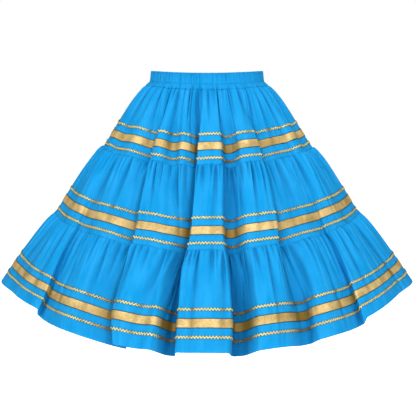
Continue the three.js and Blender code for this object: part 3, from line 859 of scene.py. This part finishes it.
def stitch_row(name, surface, centre, low, high):
    """Spindles along the line at distance centre: a ring at each of -1, -0.6, 0.6, 1 half stitches, with
    radius 0.3, 1, 1, 0.3 times half the thread, standing on the cloth's normals."""
    lengths = length_round(centre)
    count = int(lengths[-1] / (STITCH + STITCH_GAP))
    middle = (np.arange(count) + 0.5) * lengths[-1] / count
    reach = RING_PLACES * STITCH / 2
    radius = RING_SIZES * THREAD / 2
    turn = np.interp(middle[:, None] + reach, lengths, FINE)
    points, normals = with_normals(surface, turn, np.full_like(turn, centre), low, high)
    ahead = unit(points[:, -1:] - points[:, :1])
    side = unit(np.cross(normals, ahead))
    round_it = np.array([(1, 0), (0, 1), (-1, 0), (0, -1)])
    ring = side[:, :, None] * round_it[None, None, :, :1] + normals[:, :, None] * round_it[None, None, :, 1:]
    body = (points + normals * THREAD_LIFT)[:, :, None] + ring * radius[None, :, None, None]
    rings = len(RING_PLACES)
    base = np.arange(count)[:, None, None] * rings * RING_POINTS
    r, k = (g.ravel() for g in np.meshgrid(np.arange(rings - 1), np.arange(RING_POINTS), indexing="ij"))
    this, after = r * RING_POINTS, (r + 1) * RING_POINTS
    beside = (k + 1) % RING_POINTS
    tube = np.stack([this + k, this + beside, after + beside, after + k], axis=-1)
    caps = np.array([[3, 2, 1, 0], [12, 13, 14, 15]])
    faces = (base + np.concatenate([tube, caps])[None]).reshape(-1, 4)
    uv = np.zeros((len(faces), 4, 2))
    piece = new_piece(name, body.reshape(-1, 3) * MM, faces, uv)
    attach(piece, "root")
    return piece


casing_stitches = stitch_row("casing_stitches", band, CASING, 0.0, BAND_LENGTH)
hem_line = HEM - HEM_TURN + HEM_STITCHES_FROM_TURN
hem_stitches = stitch_row("hem_stitches", partial(cloth, "lower"), hem_line, TIERS["lower"]["start"], HEM)


# %% [markdown]
# ## Blue cloth
# The cloth is a bright plain weave of cotton and polyester: matt, with a faint bloom where light grazes it.
# Its threads are 0.45 mm apart, made from two sine waves on the UV map that cross. They move the surface a
# hair's breadth and tint it. A slow noise on the object's own coordinates keeps it from looking printed.
# Small wrinkles drawn down the cloth raise its surface and also paint their shade into its colour, lighter
# on their crests and a deeper blue between them. The depth attribute paints shade into folds and grooves.

# %% Mix the blue cloth
def paint(name):
    """A new material, its node tree and its shader."""
    material = bpy.data.materials.new(name)
    material.use_nodes = True
    tree = material.node_tree
    return material, tree, tree.nodes["Principled BSDF"]


def calc(tree, operation, *values):
    """A Math node: operation applied to one, two or three sockets or numbers."""
    node = tree.nodes.new("ShaderNodeMath")
    node.operation = operation
    for socket, value in zip(node.inputs, values):
        if isinstance(value, (int, float)):
            socket.default_value = value
        else:
            tree.links.new(value, socket)
    return node.outputs[0]


def blend_colours(tree, factor, low, high):
    """A Mix node from colour low to colour high."""
    node = tree.nodes.new("ShaderNodeMix")
    node.data_type = "RGBA"
    tree.links.new(factor, node.inputs["Factor"])
    for name, colour in (("A", low), ("B", high)):
        socket = [i for i in node.inputs if i.name == name and i.type == "RGBA"][0]
        if isinstance(colour, tuple):
            socket.default_value = (*colour, 1)
        else:
            tree.links.new(colour, socket)
    return [o for o in node.outputs if o.type == "RGBA"][0]


def threads(tree, pitch):
    """sin(2 pi u / pitch) * sin(2 pi v / pitch), with u and v the UV map's metres: -1 to 1."""
    place = tree.nodes.new("ShaderNodeUVMap")
    place.uv_map = "cloth"
    axes = tree.nodes.new("ShaderNodeSeparateXYZ")
    tree.links.new(place.outputs[0], axes.inputs[0])
    turned = [calc(tree, "MULTIPLY", axes.outputs[k], 2 * math.pi / pitch) for k in (0, 1)]
    waves = [calc(tree, "SINE", angle) for angle in turned]
    return axes, calc(tree, "MULTIPLY", *waves)


def noise(tree, scale, detail, vector=None):
    """A Noise texture on the object's coordinates, or on another vector."""
    node = tree.nodes.new("ShaderNodeTexNoise")
    set_sockets(node, Scale=scale, Detail=detail)
    if vector is None:
        vector = tree.nodes.new("ShaderNodeTexCoord").outputs["Object"]
    tree.links.new(vector, node.inputs["Vector"])
    return node.outputs["Fac"]


def drawn_down(tree, axes, scale, detail, longer):
    """Noise in the cloth's own metres, stretched longer times down the cloth, as small wrinkles are."""
    joined = tree.nodes.new("ShaderNodeCombineXYZ")
    tree.links.new(axes.outputs[0], joined.inputs[0])
    tree.links.new(calc(tree, "MULTIPLY", axes.outputs[1], 1 / longer), joined.inputs[1])
    return noise(tree, scale, detail, joined.outputs[0])


def stored_painted_shade(tree, strength):
    """The depth attribute times a strength, held between 0 and 1: how much painted shade a colour gets."""
    node = tree.nodes.new("ShaderNodeAttribute")
    node.attribute_name = "depth"
    factor = calc(tree, "MULTIPLY", node.outputs["Fac"], strength)
    factor.node.use_clamp = True
    return factor


def bump(tree, height, distance, strength, shader):
    """A Bump node that moves the surface by distance metres."""
    node = tree.nodes.new("ShaderNodeBump")
    set_sockets(node, Distance=distance, Strength=strength)
    tree.links.new(height, node.inputs["Height"])
    tree.links.new(node.outputs[0], shader.inputs["Normal"])


def dress(material, pieces):
    """Gives a material to pieces."""
    for piece in pieces:
        piece.data.materials.append(material)
    print(material.name, "on", len(pieces), "pieces")


# The first two blues are mixed for random mottle and for painted wrinkle shade; the third is painted fold
# shade.
BLUE, BLUE_MOTTLE_AND_SHADE, BLUE_PAINTED_FOLD_SHADE = (0.016, 0.280, 0.600), (0.001, 0.205, 0.470), (0.0005, 0.06, 0.185)
BLUE_YARN, YARN_SHARE, WEAVE_PITCH = (0.003, 0.18, 0.48), 0.12, 0.0009
WRINKLE_SHADE_TINT, CLOUD_TINT, TINT_START = 1.3, 0.9, 0.6
WRINKLE_RELIEF, WEAVE_RELIEF, BLUE_SHADE = 14, 0.08, 0.74
blue_cloth, tree, shader = paint("blue cloth")
axes, weave = threads(tree, WEAVE_PITCH)
wrinkles = drawn_down(tree, axes, scale=70, detail=2, longer=6)
cloudy = noise(tree, scale=22, detail=3)
# Painted shade of small wrinkles: the colour is lighter where the wrinkle noise raises the surface and a
# deeper blue between, while the cloud noise adds random tone.
wrinkle_painted_shade = calc(tree, "MULTIPLY", wrinkles, WRINKLE_SHADE_TINT)
from_clouds = calc(tree, "MULTIPLY", cloudy, CLOUD_TINT)
both = calc(tree, "ADD", wrinkle_painted_shade, from_clouds)
uneven = calc(tree, "SUBTRACT", both, TINT_START)
uneven.node.use_clamp = True
mottled_and_wrinkle_shaded = blend_colours(tree, uneven, BLUE_MOTTLE_AND_SHADE, BLUE)
thread_mix = calc(tree, "MULTIPLY_ADD", weave, 0.5, 0.5)  # from -1..1 to 0..1
yarn = calc(tree, "MULTIPLY", thread_mix, YARN_SHARE)
thread_colour = blend_colours(tree, yarn, mottled_and_wrinkle_shaded, BLUE_YARN)
# Painted shade: the colour darkens towards a deep blue by the depth attribute, in valleys and grooves and
# over the waistband.
shaded = blend_colours(tree, stored_painted_shade(tree, BLUE_SHADE), thread_colour, BLUE_PAINTED_FOLD_SHADE)
tree.links.new(shaded, shader.inputs["Base Color"])
raised = calc(tree, "MULTIPLY", wrinkles, WRINKLE_RELIEF)
relief = calc(tree, "ADD", raised, calc(tree, "MULTIPLY", weave, WEAVE_RELIEF))
bump(tree, relief, distance=0.0005, strength=0.6, shader=shader)
set_sockets(shader, Roughness=0.8, Specular_IOR_Level=0.03, Sheen_Weight=0.01, Sheen_Roughness=0.5)
set_sockets(shader, Sheen_Tint=(0.75, 0.9, 1, 1))
dress(blue_cloth, [*panels, waistband])

# %% [markdown]
# ## Gold ribbon
# The ribbon is woven of flat metallic yarn, which glitters unevenly: some of it catches the light and some
# lies in shade. So it is only partly metallic, and a fine noise and a coarse one paint those glints and that
# shade into its colour, with random tone; a weave of 0.7 mm gives it relief. Along both edges it turns back,
# and a dark line of painted shade follows each edge. Folds get painted shade as on the cloth.

# %% Mix the gold ribbon
def edge_shade_mask(tree, axes, middle, edge):
    """0 on a trim and 1 past its edge line, where painted shade darkens it: |v - middle| from edge[0] to
    edge[1], all in metres.
    """
    from_middle = calc(tree, "SUBTRACT", axes.outputs[1], middle)
    ramp = tree.nodes.new("ShaderNodeMapRange")
    set_sockets(ramp, From_Min=edge[0], From_Max=edge[1])
    tree.links.new(calc(tree, "ABSOLUTE", from_middle), ramp.inputs["Value"])
    return ramp.outputs[0]


# The first two golds are a lit and a dim copy for painted glints and shade; the third is painted fold shade.
GOLD, GOLD_IN_PAINTED_SHADE, GOLD_PAINTED_FOLD_SHADE = (0.64, 0.465, 0.19), (0.36, 0.24, 0.07), (0.19, 0.11, 0.01)
GOLD_EDGE_PAINTED_SHADE, GOLD_SHADE, RIB_PITCH, RIBBON_EDGE = (0.004, 0.04, 0.06), 2.4, 0.0014, (0.0074, 0.0076)
GLITTER, GLITTER_START, PATCHES, PATCH_MIDDLE = 1.8, -0.55, 2.4, 0.42
gold_ribbon, tree, shader = paint("gold ribbon")
axes, ribs = threads(tree, RIB_PITCH)
glitter = noise(tree, scale=420, detail=2)
patches = noise(tree, scale=42, detail=2)
# Painted glints and shade: fine glitter and coarse patches mix the lit gold with the dim one, with random
# tone.
mixed = calc(tree, "MULTIPLY_ADD", glitter, GLITTER, GLITTER_START)
off_middle = calc(tree, "SUBTRACT", patches, PATCH_MIDDLE)
in_patches = calc(tree, "MULTIPLY", off_middle, PATCHES)
together = calc(tree, "ADD", mixed, in_patches)
together.node.use_clamp = True
painted_glitter = blend_colours(tree, together, GOLD_IN_PAINTED_SHADE, GOLD)
# Painted shade: the ribbon's gold darkens to brown by the depth attribute, in folds.
body = blend_colours(tree, stored_painted_shade(tree, GOLD_SHADE), painted_glitter, GOLD_PAINTED_FOLD_SHADE)
# Painted shade: a dark line along both edges of the ribbon.
edge = edge_shade_mask(tree, axes, RIBBON_WIDTH * MM / 2, RIBBON_EDGE)
tree.links.new(blend_colours(tree, edge, body, GOLD_EDGE_PAINTED_SHADE), shader.inputs["Base Color"])
bump(tree, ribs, distance=0.00012, strength=0.6, shader=shader)
set_sockets(shader, Metallic=0.3, Roughness=0.5)
dress(gold_ribbon, list(ribbons.values()))

# %% [markdown]
# ## Gold rickrack and thread
# Rickrack is braided from the same yarn in finer plaits, so it looks like the ribbon with a closer, rougher
# weave: fine flecks paint its glints and shade. A dark rim along both edges paints the shadow that it casts
# on the cloth. The sewing thread is blue polyester, a shade deeper than the cloth and as matt.

# %% Mix the rickrack and the thread
# The first two golds are a dim and a lit copy for painted glints and shade; the third colour is the painted
# shadow rim.
PLAIT_IN_PAINTED_SHADE, PLAIT, RICKRACK_PAINTED_SHADOW = (0.52, 0.44, 0.11), (0.84, 0.70, 0.25), (0.003, 0.03, 0.045)
PLAIT_PITCH, BRAID_EDGE = 0.0011, (0.00155, 0.00165)
gold_rickrack, tree, shader = paint("gold rickrack")
axes, plait = threads(tree, PLAIT_PITCH)
flecks = noise(tree, scale=320, detail=2)
# Painted glints and shade: fine flecks mix the dim gold with the lit one, with random tone.
plait_glints = blend_colours(tree, flecks, PLAIT_IN_PAINTED_SHADE, PLAIT)
# Painted shade: the rickrack's gold darkens to brown by the depth attribute, in folds.
body = blend_colours(tree, stored_painted_shade(tree, GOLD_SHADE), plait_glints, GOLD_PAINTED_FOLD_SHADE)
# Painted shadow: a dark rim along both edges of the braid, where it meets the cloth.
edge = edge_shade_mask(tree, axes, HALF_BRAID * MM, BRAID_EDGE)
tree.links.new(blend_colours(tree, edge, body, RICKRACK_PAINTED_SHADOW), shader.inputs["Base Color"])
bump(tree, plait, distance=0.0002, strength=0.7, shader=shader)
set_sockets(shader, Metallic=0.4, Roughness=0.45)
dress(gold_rickrack, [piece for pair in rickracks.values() for piece in pair])

THREAD_DARK, THREAD_LIGHT = (0.004, 0.22, 0.49), (0.006, 0.25, 0.54)
blue_thread, tree, shader = paint("blue thread")
fibres = noise(tree, scale=900, detail=2)
tree.links.new(blend_colours(tree, fibres, THREAD_DARK, THREAD_LIGHT), shader.inputs["Base Color"])
bump(tree, fibres, distance=0.0001, strength=0.4, shader=shader)
set_sockets(shader, Roughness=0.8, Specular_IOR_Level=0.1)
dress(blue_thread, [casing_stitches, hem_stitches])

# %% [markdown]

# %% [markdown]
# ## Last checks
# The box of the finished skirt is compared with the box of the solids, because looks never change the size.

# %% Write the sizes and finish
low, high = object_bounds()
grown = np.array([*low, *high]) - np.array([*cad_low, *cad_high])
print("grown by, in mm:", (grown / MM).round(1))
